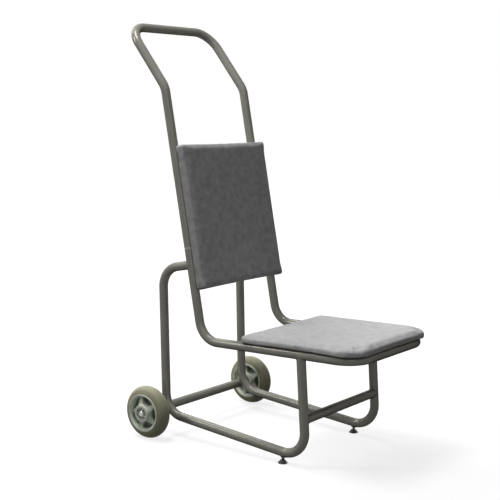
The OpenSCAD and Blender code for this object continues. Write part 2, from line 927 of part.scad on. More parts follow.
bearing_inners(right);  // right_bearing_inners
bearing_balls(right);  // right_bearing_balls
bearing_seals(right);  // right_bearing_seals
bearing_sleeve(right);  // right_bearing_sleeve
foot_insert(left);  // left_foot_insert
foot_stud(left);  // left_foot_stud
foot_pad(left);  // left_foot_pad
foot_insert(right);  // right_foot_insert
foot_stud(right);  // right_foot_stud
foot_pad(right);  // right_foot_pad
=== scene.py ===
import math
from functools import lru_cache
from typing import NamedTuple

import bmesh
import bpy
import numpy as np
from bpy.props import FloatProperty, FloatVectorProperty, PointerProperty
from mathutils import Matrix, Vector, noise


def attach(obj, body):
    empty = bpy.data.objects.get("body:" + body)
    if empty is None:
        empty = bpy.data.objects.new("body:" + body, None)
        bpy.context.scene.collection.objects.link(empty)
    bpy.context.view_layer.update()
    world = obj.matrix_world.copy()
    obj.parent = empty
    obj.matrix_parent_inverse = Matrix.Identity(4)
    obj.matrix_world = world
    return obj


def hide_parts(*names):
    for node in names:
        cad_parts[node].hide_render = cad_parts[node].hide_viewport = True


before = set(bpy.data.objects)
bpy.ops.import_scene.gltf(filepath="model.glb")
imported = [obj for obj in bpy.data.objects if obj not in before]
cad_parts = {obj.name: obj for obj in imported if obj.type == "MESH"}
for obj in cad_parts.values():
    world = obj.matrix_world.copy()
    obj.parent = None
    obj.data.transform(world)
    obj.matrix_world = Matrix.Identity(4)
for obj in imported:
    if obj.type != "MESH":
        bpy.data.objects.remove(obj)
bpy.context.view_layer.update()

bl_info = {
    "name": "Stacking chair trolley",
    "version": (1, 0, 0),
    "blender": (4, 5, 0),
    "location": "3D View > Sidebar > Trolley",
    "description": "Dresses a tube-framed stacking chair trolley with paint, cloth, rubber and bright metal",
    "category": "Add Mesh",
}

SIDES = {"left": -1, "right": 1}

# Corners of the frame in the middle plane, and the lean of its straight runs
SEAT_CORNER = Vector((0, 0.11356, 0.2917))
HANDLE_CORNER = Vector((0, 0.252877, 0.988917))
SEAT_RISE = math.radians(1.6)
BACK_LEAN = math.radians(11.3)
RAIL_FALL = math.radians(4.5)
HALF_WIDTH = 0.175
TUBE_R = 0.0125
RAIL_FRONT = Vector((0, -0.24074, 0.0245))
LEG_TOP = Vector((0, -0.219949, 0.301016))
STUB_END = Vector((0, 0.155296, 0.500571))
STUB_CORNER = Vector((0, 0.260972, 0.479455))
FRONT_TUBE = Vector((0, -0.232808, 0.13))
UPRIGHT_JOINT = Vector((0, 0.164506, 0.546654))
AXLE = Vector((0, 0.26126, 0.075))
WHEEL_MID = 0.2385
FOOT_AT = Vector((0, -0.168962, 0.030149))
FOOT_DROP = 0.024224

# Tabs: thickness, half the length of a weld, and places along the seat rails and the uprights
TAB_T = 0.003
TAB_WELD = 0.0145
SEAT_TABS = (-0.203, -0.402)
BACK_TABS = (-0.23, -0.521)

SEAT_PLACE = Matrix.Translation(SEAT_CORNER) @ Matrix.Rotation(-SEAT_RISE, 4, "X")
BACK_PLACE = Matrix.Translation(HANDLE_CORNER) @ Matrix.Rotation(math.pi / 2 - BACK_LEAN, 4, "X")

# Pads: height over the middle of the tubes, draw of their sides and room for the board
PAD_BASE = 0.0128
SIDE_PULL = 0.002
BOARD_ROOM = (-0.01, 0.0091)

# Cloth of the pads: what is held while it fills, the gathers round its edge and the droop of its front
HELD_BELOW = 0.002
FILL_FRAMES = 20
FILL = {"vertex_group_mass": "held", "use_pressure": True, "quality": 6, "tension_stiffness": 25,
        "compression_stiffness": 8, "bending_stiffness": 0.3}
TUCK_FROM = 0.16
TUCK_DEPTH = 0.0022
TUCK_PITCH = 0.02
TUCK_SEED = 14
TUCK_WAVES = ((1, 0), (2.1, 3), (0.7, 9))
TUCK_FADE = 1.2
DROOP_FROM = 0.2
DROOP_OVER = 0.03

# Edges shaded sharp, from this angle on
HARD_EDGE = math.radians(50)
CLOTH_FOLD = math.radians(60)

# Steps round a tyre, thickness of two plies of a board, and how its grain is drawn out
TYRE_STEPS = 160
PLY_PAIR = 0.0036
GRAIN_STRETCH = (160, 9, 160)

# Studio lamps: width and height, watts, place and target
LAMPS = {
    "overhead_softbox": ((1.1, 0.8), 48.0, (-0.5, 0.5, 2.95), (0.0, 0.0, 0.3)),
    "rear_softbox": ((1.6, 0.7), 44.0, (0.5, 1.9, 2.4), (0.0, 0.0, 0.3)),
    "left_softbox": ((0.4, 1.2), 26.0, (-1.95, 2.1, 2.2), (0.0, 0.0, 0.6)),
    "right_softbox": ((0.8, 1.2), 16.0, (2.5, 1.1, 1.3), (0.0, 0.0, 0.4)),
    "front_strip": ((0.22, 3.4), 18.0, (-2.2, -2.55, 2.4), (0.0, 0.0, 0.6)),
}

# Stage: half the floor's width, its glow in the camera, and the sky's glow on the object
WHITE = (1, 1, 1)
FLOOR_REACH = 8.0
FLOOR_GLOW = 1.12
SKY_GLOW = 0.04

# Camera fitted to the photo: place, then yaw, pitch and roll in degrees, then lens and sensor in millimetres
CAMERA_AT = (-2.41137, -1.77539, 0.942)
CAMERA_TURN = (-52.347, 7.692, 0.563)
FOCAL_LENGTH = 77.32
SENSOR_WIDTH = 36.0
VIEW_DEPTH = 50.0


class Pad(NamedTuple):
    """Names, place and sizes of a pad. Sizes are width and length, corners are the front and rear radius."""

    name: str
    slot: str
    node: str
    place: Matrix
    middle: float
    size: tuple
    corners: tuple
    board_size: tuple
    board_corners: tuple
    thickness: float
    edge: float
    droop: float


SEAT_PAD = Pad(name="seat_pad_cloth", slot="seat_cloth", node="seat_cushion",
               place=SEAT_PLACE, middle=-0.3305, size=(0.3812, 0.3742), corners=(0.058, 0.009),
               board_size=(0.3696, 0.3626), board_corners=(0.0723, 0.0068),
               thickness=0.0198, edge=0.008, droop=0.003)
BACK_PAD = Pad(name="back_pad_cloth", slot="back_cloth", node="back_pad",
               place=BACK_PLACE, middle=-0.368, size=(0.3692, 0.4052), corners=(0.007, 0.007),
               board_size=(0.3546, 0.3906), board_corners=(0.0053, 0.0053),
               thickness=0.031, edge=0.0045, droop=0)


class TrolleySizes(bpy.types.PropertyGroup):
    """Sizes of the finish that sits on the frame."""

    weld_radius: FloatProperty(name="Weld radius", description="Half the width of a weld bead",
                               default=0.0021, unit="LENGTH")
    weld_pitch: FloatProperty(name="Weld pitch", description="Distance between the ripples of a weld bead",
                              default=0.0017, unit="LENGTH")
    seat_rise: FloatProperty(name="Seat swell", description="Most that the seat cushion swells upward",
                             default=0.0045, unit="LENGTH")
    back_rise: FloatProperty(name="Back swell", description="Most that the back pad swells forward",
                             default=0.0025, unit="LENGTH")
    side_rise: FloatProperty(name="Side swell", description="Most that the sides of a pad swell outward",
                             default=0.001, unit="LENGTH")
    pad_voxel: FloatProperty(name="Pad voxel", description="Grid of the pads before they are inflated",
                             default=0.004, unit="LENGTH")
    pressure: FloatProperty(name="Pad pressure", description="Pressure of the filling on the cloth",
                            default=4.0)
    weave: FloatProperty(name="Weave", description="Distance between the yarns of the cloth",
                         default=0.0016, unit="LENGTH")
    thread_pitch: FloatProperty(name="Thread pitch", description="Pitch of the thread on the foot studs",
                                default=0.00125, unit="LENGTH")


class TrolleyColours(bpy.types.PropertyGroup):
    """Colours of the finishes."""

    paint: FloatVectorProperty(name="Frame paint", description="Grey metallic paint of the frame",
                               default=(0.27, 0.264, 0.232), size=3, subtype="COLOR")
    # Seat and back are one cloth: the back's colour is written darker than the seat's as painted shade.
    seat_cloth: FloatVectorProperty(name="Seat cloth", description="Cloth of the seat cushion",
                                    default=(0.545, 0.545, 0.55), size=3, subtype="COLOR")
    back_cloth: FloatVectorProperty(name="Back cloth", description="Cloth of the back pad",
                                    default=(0.375, 0.375, 0.377), size=3, subtype="COLOR")
    board: FloatVectorProperty(name="Board", description="Stained plywood of the boards",
                               default=(0.05, 0.02, 0.016), size=3, subtype="COLOR")
    tyre: FloatVectorProperty(name="Tyre", description="Grey rubber of the tyres",
                              default=(0.335, 0.329, 0.223), size=3, subtype="COLOR")
    rim: FloatVectorProperty(name="Rim", description="Moulded plastic of the rims",
                             default=(0.71, 0.76, 0.64), size=3, subtype="COLOR")
    zinc: FloatVectorProperty(name="Zinc", description="Zinc plate of washers, spacers and screws",
                              default=(0.62, 0.63, 0.62), size=3, subtype="COLOR")
    cap: FloatVectorProperty(name="Cap nut", description="Bright plate of the cap nuts",
                             default=(0.36, 0.36, 0.35), size=3, subtype="COLOR")
    steel: FloatVectorProperty(name="Steel", description="Plain steel inside the frame",
                               default=(0.28, 0.28, 0.27), size=3, subtype="COLOR")
    foot: FloatVectorProperty(name="Foot", description="Black plastic of the feet",
                              default=(0.012, 0.012, 0.013), size=3, subtype="COLOR")


def sizes():
    return bpy.context.scene.trolley_sizes


def colours():
    return bpy.context.scene.trolley_colours


# Node building

def add_node(tree, kind, inputs=None, **settings):
    """Adds a node and sets its properties. Each input takes a value or another node's output."""
    made = tree.nodes.new(kind)
    for key, value in settings.items():
        setattr(made, key, value)
    for key, value in (inputs or {}).items():
        if isinstance(value, bpy.types.NodeSocket):
            tree.links.new(value, made.inputs[key])
        else:
            made.inputs[key].default_value = value
    return made


def new_group(name, kind, inputs, outputs):
    """A node group with the named sockets, and its input and output nodes."""
    group = bpy.data.node_groups.new(name, kind)
    for label, socket, value in inputs:
        made = group.interface.new_socket(label, in_out="INPUT", socket_type=socket)
        if value is not None:
            made.default_value = value
    for label, socket in outputs:
        group.interface.new_socket(label, in_out="OUTPUT", socket_type=socket)
    return group, group.nodes.new("NodeGroupInput"), group.nodes.new("NodeGroupOutput")


def new_material(name, **values):
    """A material with one Principled BSDF, its constant values set on the shader's own sockets."""
    material = bpy.data.materials.new(name)
    material.use_nodes = True
    shader = material.node_tree.nodes["Principled BSDF"]
    for key, value in values.items():
        shader.inputs[key.replace("_", " ")].default_value = value
    return material, material.node_tree, shader


def rgba(colour, gain=1.0):
    return (*[min(1.0, gain * c) for c in colour], 1.0)


def object_place(tree):
    return add_node(tree, "ShaderNodeTexCoord").outputs["Object"]


def parts(tree, vector):
    """The X, Y and Z of a vector."""
    return add_node(tree, "ShaderNodeSeparateXYZ", {0: vector}).outputs


def calc(tree, operation, *values):
    """The result of a math node."""
    return add_node(tree, "ShaderNodeMath", dict(enumerate(values)), operation=operation).outputs[0]


def cloud(tree, place, scale, detail, roughness=0.5, distortion=0.0):
    """A noise texture."""
    return add_node(tree, "ShaderNodeTexNoise", {"Vector": place, "Scale": scale, "Detail": detail,
                                                 "Roughness": roughness, "Distortion": distortion})


def ranged(tree, value, start, end, low, high, **settings):
    """A value carried over from start and end to low and high."""
    ends = {"From Min": start, "From Max": end, "To Min": low, "To Max": high}
    return add_node(tree, "ShaderNodeMapRange", {"Value": value, **ends}, **settings).outputs[0]


def mixed(tree, share, first, second):
    """A number between two others, which the mix node takes at its sockets 2 and 3."""
    return add_node(tree, "ShaderNodeMix", {"Factor": share, 2: first, 3: second}).outputs[0]


def tinted(tree, share, first, second, **settings):
    """A colour between two others, which the mix node takes at its sockets 6 and 7."""
    sockets = {"Factor": share, 6: first, 7: second}
    return add_node(tree, "ShaderNodeMix", sockets, data_type="RGBA", **settings).outputs[2]


@lru_cache
def mottle_group():
    """Uneven tone at two scales: blotches and grain."""
    group, given, out = new_group(
        "uneven_tone", "ShaderNodeTree",
        [("Vector", "NodeSocketVector", None), ("Blotch", "NodeSocketFloat", 9.0),
         ("Grain", "NodeSocketFloat", 300.0), ("Blotch Share", "NodeSocketFloat", 0.5)],
        [("Tone", "NodeSocketFloat"), ("Grain", "NodeSocketFloat")])
    place = given.outputs["Vector"]
    blotch = cloud(group, place, given.outputs["Blotch"], 4.0, 0.6).outputs["Fac"]
    grain = cloud(group, place, given.outputs["Grain"], 2.0, 0.55).outputs["Fac"]
    group.links.new(mixed(group, given.outputs["Blotch Share"], grain, blotch), out.inputs["Tone"])
    group.links.new(grain, out.inputs["Grain"])
    return group


@lru_cache
def weave_group():
    """Plain weave from the piece's own map: over and under yarns, with slubs and pilling."""
    group, given, out = new_group(
        "plain_weave", "ShaderNodeTree",
        [("Map", "NodeSocketVector", None), ("Yarns", "NodeSocketFloat", 600.0),
         ("Slub", "NodeSocketFloat", 0.35)],
        [("Height", "NodeSocketFloat")])
    place = given.outputs["Map"]
    wobble = cloud(group, place, 120.0, 2.0).outputs["Color"]
    shift = add_node(group, "ShaderNodeVectorMath", {0: wobble, 1: (0.0009, 0.0009, 0.0009), 2: place},
                     operation="MULTIPLY_ADD")
    spot = parts(group, shift.outputs[0])
    waves = []
    for axis in ("X", "Y"):
        turns = calc(group, "MULTIPLY", spot[axis], given.outputs["Yarns"])
        waves.append(calc(group, "SINE", calc(group, "MULTIPLY", turns, math.pi)))
    lift = calc(group, "MULTIPLY_ADD", calc(group, "MULTIPLY", *waves), 0.5, 0.5)
    fluff = cloud(group, place, 420.0, 5.0, 0.7).outputs["Fac"]
    group.links.new(mixed(group, given.outputs["Slub"], lift, fluff), out.inputs["Height"])
    return group


@lru_cache
def dust_group():
    """Dust that settles on faces turned upward."""
    group, given, out = new_group(
        "settled_dust", "ShaderNodeTree",
        [("Vector", "NodeSocketVector", None), ("Amount", "NodeSocketFloat", 0.2)],
        [("Mask", "NodeSocketFloat")])
    facing = add_node(group, "ShaderNodeNewGeometry").outputs["Normal"]
    level = ranged(group, parts(group, facing)["Z"], 0.2, 1.0, 0.0, 1.0)
    patch = cloud(group, given.outputs["Vector"], 60.0, 5.0, 0.65).outputs["Fac"]
    both = calc(group, "MULTIPLY", level, patch)
    group.links.new(calc(group, "MULTIPLY", both, given.outputs["Amount"]), out.inputs["Mask"])
    return group


def tone_ramp(tree, value, low, high, start=0.3, end=0.7):
    """A colour from low to high as the value goes from start to end."""
    ramp = add_node(tree, "ShaderNodeValToRGB", {"Fac": value})
    first, last = ramp.color_ramp.elements
    first.position, first.color = start, low
    last.position, last.color = end, high
    return ramp.outputs["Color"]


def uneven(tree, place, blotch, grain, share):
    """The tone and the grain of the uneven tone group, with scales of their own."""
    scales = {"Blotch": blotch, "Grain": grain, "Blotch Share": share}
    made = add_node(tree, "ShaderNodeGroup", {"Vector": place, **scales}, node_tree=mottle_group())
    return made.outputs["Tone"], made.outputs["Grain"]


def coat(tree, shader, colour, gloss, rough, height, relief):
    """Feeds the shader a colour, an uneven gloss between two roughnesses, and a relief."""
    strength, depth = relief
    bump = add_node(tree, "ShaderNodeBump", {"Strength": strength, "Distance": depth, "Height": height})
    tree.links.new(colour, shader.inputs["Base Color"])
    tree.links.new(ranged(tree, gloss, 0.0, 1.0, *rough), shader.inputs["Roughness"])
    tree.links.new(bump.outputs["Normal"], shader.inputs["Normal"])


def speckled(name, colour, blotch, grain, share, spread, rough, relief, **values):
    """A finish with uneven tone, uneven gloss and a fine relief."""
    material, tree, shader = new_material(name, **values)
    tone, fine = uneven(tree, object_place(tree), blotch, grain, share)
    ramp = tone_ramp(tree, tone, rgba(colour, 1 - spread), rgba(colour, 1 + spread))
    coat(tree, shader, ramp, tone, rough, fine, relief)
    return material


@lru_cache
def frame_paint():
    """Metallic paint, a little uneven in tone, and painted bright at the joint of the uprights: worn paint
    with a painted glint on the seam.
    """
    material, tree, shader = new_material(
        "grey_tube_paint", Specular_IOR_Level=0.0, Specular_Tint=(0, 0, 0, 1), Metallic=0.17)
    paint = colours().paint
    place = object_place(tree)
    tone, fine = uneven(tree, place, blotch=14.0, grain=1900.0, share=0.75)
    ramp = tone_ramp(tree, tone, rgba(paint, 0.9), rgba(paint, 1.1))
    along = add_node(tree, "ShaderNodeVectorMath", {0: place, 1: UPRIGHT_JOINT}, operation="SUBTRACT")
    upright = (0, math.sin(BACK_LEAN), math.cos(BACK_LEAN))
    lean = add_node(tree, "ShaderNodeVectorMath", {0: along.outputs[0], 1: upright}, operation="DOT_PRODUCT")
    near = ranged(tree, calc(tree, "ABSOLUTE", lean.outputs["Value"]), 0.0006, 0.0035, 1.0, 0.0)
    chips = cloud(tree, place, 260.0, 4.0, 0.7).outputs["Fac"]
    # Painted highlight: a bright ring at the upright joint, worn paint lightened to stand in for the glint on
    # the seam.
    worn_and_glint = tinted(tree, calc(tree, "MULTIPLY", near, chips), ramp, rgba(paint, 2.8))
    coat(tree, shader, worn_and_glint, tone, rough=(0.18, 0.24), height=fine, relief=(0.003, 0.0002))
    return material


def pad_cloth(name, colour, mottle):
    """Grey woven cloth with a short nap, faint creases and a soft sheen."""
    material, tree, shader = new_material(
        name, Specular_IOR_Level=0.12, Sheen_Weight=0.08, Sheen_Roughness=0.5)
    coords = add_node(tree, "ShaderNodeTexCoord").outputs
    weave = add_node(tree, "ShaderNodeGroup", {"Map": coords["UV"], "Yarns": 1 / sizes().weave},
                     node_tree=weave_group()).outputs["Height"]
    tone, _ = uneven(tree, coords["Object"], blotch=55.0, grain=380.0, share=0.55)
    crease = cloud(tree, coords["Object"], 26.0, 3.0, 0.5, 1.6).outputs["Fac"]
    line = ranged(tree, crease, 0.47, 0.53, 1.0, 0.0)
    ramp = tone_ramp(tree, tone, rgba(colour, 1 - mottle), rgba(colour, 1 + mottle), 0.34, 0.66)
    grey = add_node(tree, "ShaderNodeCombineColor", dict.fromkeys(("Red", "Green", "Blue"), weave))
    nap = tinted(tree, 0.3, ramp, grey.outputs[0], blend_type="OVERLAY")
    height = calc(tree, "MULTIPLY_ADD", line, 0.35, weave)
    coat(tree, shader, nap, tone, rough=(0.86, 0.98), height=height, relief=(0.55, 0.0006))
    return material


def board_stain(name, turn):
    """Stained plywood: plies across its thickness and grain along its face."""
    material, tree, shader = new_material(name, Specular_IOR_Level=0.4)
    stain = colours().board
    turned = add_node(tree, "ShaderNodeMapping", {"Vector": object_place(tree), "Rotation": (turn, 0, 0)})
    lay = turned.outputs[0]
    plies = calc(tree, "SINE", calc(tree, "MULTIPLY", parts(tree, lay)["Z"], 2 * math.pi / PLY_PAIR))
    stretch = add_node(tree, "ShaderNodeMapping", {"Vector": lay, "Scale": GRAIN_STRETCH}).outputs[0]
    grain = cloud(tree, stretch, 1.0, 5.0, 0.65).outputs["Fac"]
    tone = calc(tree, "MULTIPLY_ADD", plies, 0.12, grain)
    ramp = tone_ramp(tree, tone, rgba(stain, 0.55), rgba(stain, 1.6), 0.28, 0.75)
    coat(tree, shader, ramp, grain, rough=(0.5, 0.75), height=grain, relief=(0.25, 0.0003))
    return material


@lru_cache
def rim_plastic():
    """Moulded plastic, with painted shade darkening the pockets by the web, lighter on the lip."""
    material, tree, shader = new_material("moulded_rim", Specular_IOR_Level=0.5)
    colour = colours().rim
    place = object_place(tree)
    tone, fine = uneven(tree, place, blotch=40.0, grain=700.0, share=0.6)
    ramp = tone_ramp(tree, tone, rgba(colour, 0.88), rgba(colour, 1.1))
    # Painted shade: the rim's colour darkens toward the web, deep in the pockets where shade falls.
    out = calc(tree, "ABSOLUTE", parts(tree, place)["X"])
    depth = calc(tree, "ABSOLUTE", calc(tree, "SUBTRACT", out, WHEEL_MID))
    pocket_shade_mask = ranged(tree, depth, 0.005, 0.014, 0.9, 0.0)
    shade = tinted(tree, pocket_shade_mask, ramp, rgba(colour, 0.15))
    coat(tree, shader, shade, tone, rough=(0.38, 0.56), height=fine, relief=(0.1, 0.0002))
    return material


@lru_cache
def tyre_rubber():
    """Grey rubber, dusty on top."""
    material, tree, shader = new_material("grey_rubber", Specular_IOR_Level=0.25)
    colour = colours().tyre
    place = object_place(tree)
    tone, fine = uneven(tree, place, blotch=45.0, grain=520.0, share=0.6)
    ramp = tone_ramp(tree, tone, rgba(colour, 0.85), rgba(colour, 1.12))
    dust = add_node(tree, "ShaderNodeGroup", {"Vector": place, "Amount": 0.22}, node_tree=dust_group())
    dusty = tinted(tree, dust.outputs["Mask"], ramp, rgba(colour, 1.7))
    coat(tree, shader, dusty, tone, rough=(0.5, 0.72), height=fine, relief=(0.15, 0.0003))
    return material


@lru_cache
def zinc_plate():
    return speckled("zinc_plate", colours().zinc, blotch=70.0, grain=900.0, share=0.6, spread=0.14,
                    rough=(0.28, 0.46), relief=(0.08, 0.0002), Metallic=1.0)


@lru_cache
def bright_plate():
    return speckled("bright_plate", colours().cap, blotch=30.0, grain=1200.0, share=0.6, spread=0.06,
                    rough=(0.1, 0.2), relief=(0.04, 0.0001), Metallic=1.0)


@lru_cache
def bearing_steel():
    return speckled("ground_steel", colours().zinc, blotch=60.0, grain=1500.0, share=0.5, spread=0.08,
                    rough=(0.18, 0.3), relief=(0.05, 0.0001), Metallic=1.0)


@lru_cache
def plain_steel():
    return speckled("bare_steel", colours().steel, blotch=50.0, grain=800.0, share=0.6, spread=0.25,
                    rough=(0.35, 0.6), relief=(0.1, 0.0002), Metallic=0.9)


@lru_cache
def black_steel():
    return speckled("blackened_steel", colours().foot, blotch=60.0, grain=900.0, share=0.5, spread=0.4,
                    rough=(0.3, 0.45), relief=(0.05, 0.0001), Specular_IOR_Level=0.5, Metallic=0.6)


@lru_cache
def foot_plastic():
    return speckled("black_plastic", colours().foot, blotch=60.0, grain=900.0, share=0.5, spread=0.3,
                    rough=(0.32, 0.5), relief=(0.12, 0.0003), Specular_IOR_Level=0.5)


@lru_cache
def seal_rubber():
    return speckled("black_rubber", colours().foot, blotch=80.0, grain=1200.0, share=0.5, spread=0.3,
                    rough=(0.5, 0.7), relief=(0.1, 0.0002), Specular_IOR_Level=0.3)


# Mesh building

def dress(material, *nodes):
    """Gives CAD nodes a finish."""
    for name in nodes:
        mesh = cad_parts[name].data
        mesh.materials.clear()
        mesh.materials.append(material)


def add_piece(name, mesh, body, slot, *nodes):
    """Puts a finished mesh in the scene on its body, in place of the CAD nodes it stands for."""
    piece = bpy.data.objects.new(name, mesh)
    bpy.context.scene.collection.objects.link(piece)
    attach(piece, body)
    if nodes:
        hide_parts(*nodes)
    return piece


def plain_mesh(piece, name):
    """The evaluated piece as a mesh without modifiers."""
    shown = piece.evaluated_get(bpy.context.evaluated_depsgraph_get())
    mesh = bpy.data.meshes.new_from_object(shown)
    mesh.name = name
    return mesh


def as_mesh(build, name):
    mesh = bpy.data.meshes.new(name)
    build.to_mesh(mesh)
    build.free()
    return mesh


def skin(build, rows):
    """Faces from each row of points to the next, all the way round. A row may be one point repeated."""
    for low, high in zip(rows, rows[1:]):
        count = len(low)
        for k in range(count):
            corners = [low[k], low[(k + 1) % count], high[(k + 1) % count], high[k]]
            build.faces.new(list(dict.fromkeys(corners)))


def lathe(name, profile, steps):
    """Turns a closed profile of (radius, height) points round Z."""
    build = bmesh.new()
    turns = [2 * math.pi * k / steps for k in range(steps)]
    rows = [[build.verts.new((r * math.cos(a), r * math.sin(a), z)) for a in turns] for r, z in profile]
    skin(build, rows + rows[:1])
    bmesh.ops.recalc_face_normals(build, faces=build.faces)
    mesh = as_mesh(build, name)
    mesh.shade_smooth()
    return mesh


def capped(name, rows):
    """A closed block through rows of points, with a flat face at each end."""
    build = bmesh.new()
    made = [[build.verts.new(point) for point in row] for row in rows]
    build.faces.new(list(reversed(made[0])))
    build.faces.new(made[-1])
    skin(build, made)
    return as_mesh(build, name)


def pad_outline(width, length, front_r, rear_r, pull):
    """Outline of a pad with rounded corners, its sides drawn in or out between them."""
    steps = 12
    half_w, half_l = width / 2, length / 2
    corners = [((half_w - front_r, front_r - half_l), front_r, -90),
               ((half_w - rear_r, half_l - rear_r), rear_r, 0),
               ((rear_r - half_w, half_l - rear_r), rear_r, 90),
               ((front_r - half_w, front_r - half_l), front_r, 180)]
    arcs = []
    for (x, y), r, start in corners:
        turns = [math.radians(start + 90 / steps * k) for k in range(steps + 1)]
        arcs.append([Vector((x + r * math.cos(a), y + r * math.sin(a))) for a in turns])
    points = []
    for arc, follow in zip(arcs, arcs[1:] + arcs[:1]):
        a, b = arc[-1], follow[0]
        inward = Vector((a.y - b.y, b.x - a.x)).normalized()
        points += arc
        for k in range(1, steps):
            share = k / steps
            points.append(a.lerp(b, share) + inward * pull * 4 * share * (1 - share))
    return points


def prism(name, outline, low, high):
    """A closed block over an outline."""
    return capped(name, [[(p.x, p.y, z) for p in outline] for z in (low, high)])


def pad_blank(name, outline, thickness, edge_r):
    """A closed pad with a flat underside and rounded upper edges, before it is inflated."""
    steps = 6
    levels = [(0.0012, 0.0), (0.0, 0.0016)]
    for k in range(steps + 1):
        a = math.pi / 2 * k / steps
        levels.append((edge_r * (1 - math.cos(a)), thickness - edge_r * (1 - math.sin(a))))
    half_w = max(p.x for p in outline)
    half_l = max(p.y for p in outline)
    rows = []
    for inset, z in levels:
        rows.append([(p.x * (1 - inset / half_w), p.y * (1 - inset / half_l), z) for p in outline])
    return capped(name, rows)


def apply_modifier(piece, kind, **settings):
    """Adds one modifier and bakes it into the piece's mesh."""
    made = piece.modifiers.new(kind.lower(), kind)
    for key, value in settings.items():
        setattr(made, key, value)
    mesh = plain_mesh(piece, piece.data.name)
    piece.modifiers.clear()
    piece.data = mesh


def positions(mesh):
    flat = np.empty(len(mesh.vertices) * 3, np.float32)
    mesh.vertices.foreach_get("co", flat)
    return flat.reshape(-1, 3).astype(float)


def set_positions(mesh, points):
    mesh.vertices.foreach_set("co", points.astype(np.float32).ravel())
    mesh.update()


def inflate(piece, rise, side, pressure):
    """Fills the pad with pressure under cloth held down round its underside, and caps the swell."""
    rest = positions(piece.data)
    held = piece.vertex_groups.new(name="held")
    held.add([int(i) for i in np.nonzero(rest[:, 2] < HELD_BELOW)[0]], 1.0, "REPLACE")
    cloth = piece.modifiers.new("fill", "CLOTH")
    for key, value in FILL.items():
        setattr(cloth.settings, key, value)
    cloth.settings.uniform_pressure_force = pressure
    cloth.settings.effector_weights.gravity = 0
    cloth.point_cache.frame_start = 1
    cloth.point_cache.frame_end = FILL_FRAMES
    scene = bpy.context.scene
    for step in range(1, FILL_FRAMES + 1):
        scene.frame_set(step)
    shown = piece.evaluated_get(bpy.context.evaluated_depsgraph_get())
    moved = positions(shown.data) - rest
    piece.modifiers.clear()
    piece.vertex_groups.clear()
    scene.frame_set(1)
    limit = np.array([side, side, rise])
    moved = limit * np.tanh(moved / limit)
    set_positions(piece.data, rest + moved)


def tuck(piece, droop):
    """Small gathers round the lower edge, where the cloth is drawn tight, and a droop in front."""
    points = positions(piece.data)
    top = points[:, 2].max()
    angle = np.arctan2(points[:, 1], points[:, 0])
    for i, p in enumerate(points):
        reach = math.hypot(p[0], p[1])
        if reach < TUCK_FROM:
            continue
        along = angle[i] * reach
        coarse, fine, lift = [noise.noise(Vector((rate * along / TUCK_PITCH, TUCK_SEED, row)))
                              for rate, row in TUCK_WAVES]
        wave = coarse + 0.5 * fine
        fade = max(0.0, 1 - p[2] / top) ** TUCK_FADE if p[2] > 0.001 else 0.0
        out = Vector((p[0], p[1], 0)).normalized()
        points[i] += np.array(out) * wave * TUCK_DEPTH * fade
        points[i, 2] += 0.5 * TUCK_DEPTH * fade * lift
        hang = min(1.0, max(0.0, (reach - DROOP_FROM) / DROOP_OVER))
        points[i, 2] -= droop * fade * hang * (p[1] < 0)
    set_positions(piece.data, points)


def weave_map(mesh):
    """A box-projected map in metres, so the yarns keep their pitch on every side."""
    layer = mesh.uv_layers.new(name="weave")
    points = positions(mesh)
    corner = np.empty(len(mesh.loops), np.int32)
    mesh.loops.foreach_get("vertex_index", corner)
    normals = np.empty(len(mesh.polygons) * 3, np.float32)
    mesh.polygons.foreach_get("normal", normals)
    counts = np.empty(len(mesh.polygons), np.int32)
    mesh.polygons.foreach_get("loop_total", counts)
    facing = np.repeat(np.abs(normals.reshape(-1, 3)).argmax(1), counts)
    spot = points[corner]
    first = np.where(facing == 0, spot[:, 1], spot[:, 0])
    second = np.where(facing == 2, spot[:, 1], spot[:, 2])
    layer.data.foreach_set("uv", np.stack([first, second], 1).astype(np.float32).ravel())


class TROLLEY_OT_frame(bpy.types.Operator):
    """Paint the bent tubes, cross tubes and tabs"""

    bl_idname = "trolley.frame"
    bl_label = "Frame paint"

    def execute(self, context):
        dress(frame_paint(), "handle_hoop", "seat_hoop", "left_side_frame", "right_side_frame",
              "front_cross_tube", "axle_tube", "seat_tabs", "back_tabs")
        dress(plain_steel(), "left_joint_spigot", "right_joint_spigot")
        return {"FINISHED"}


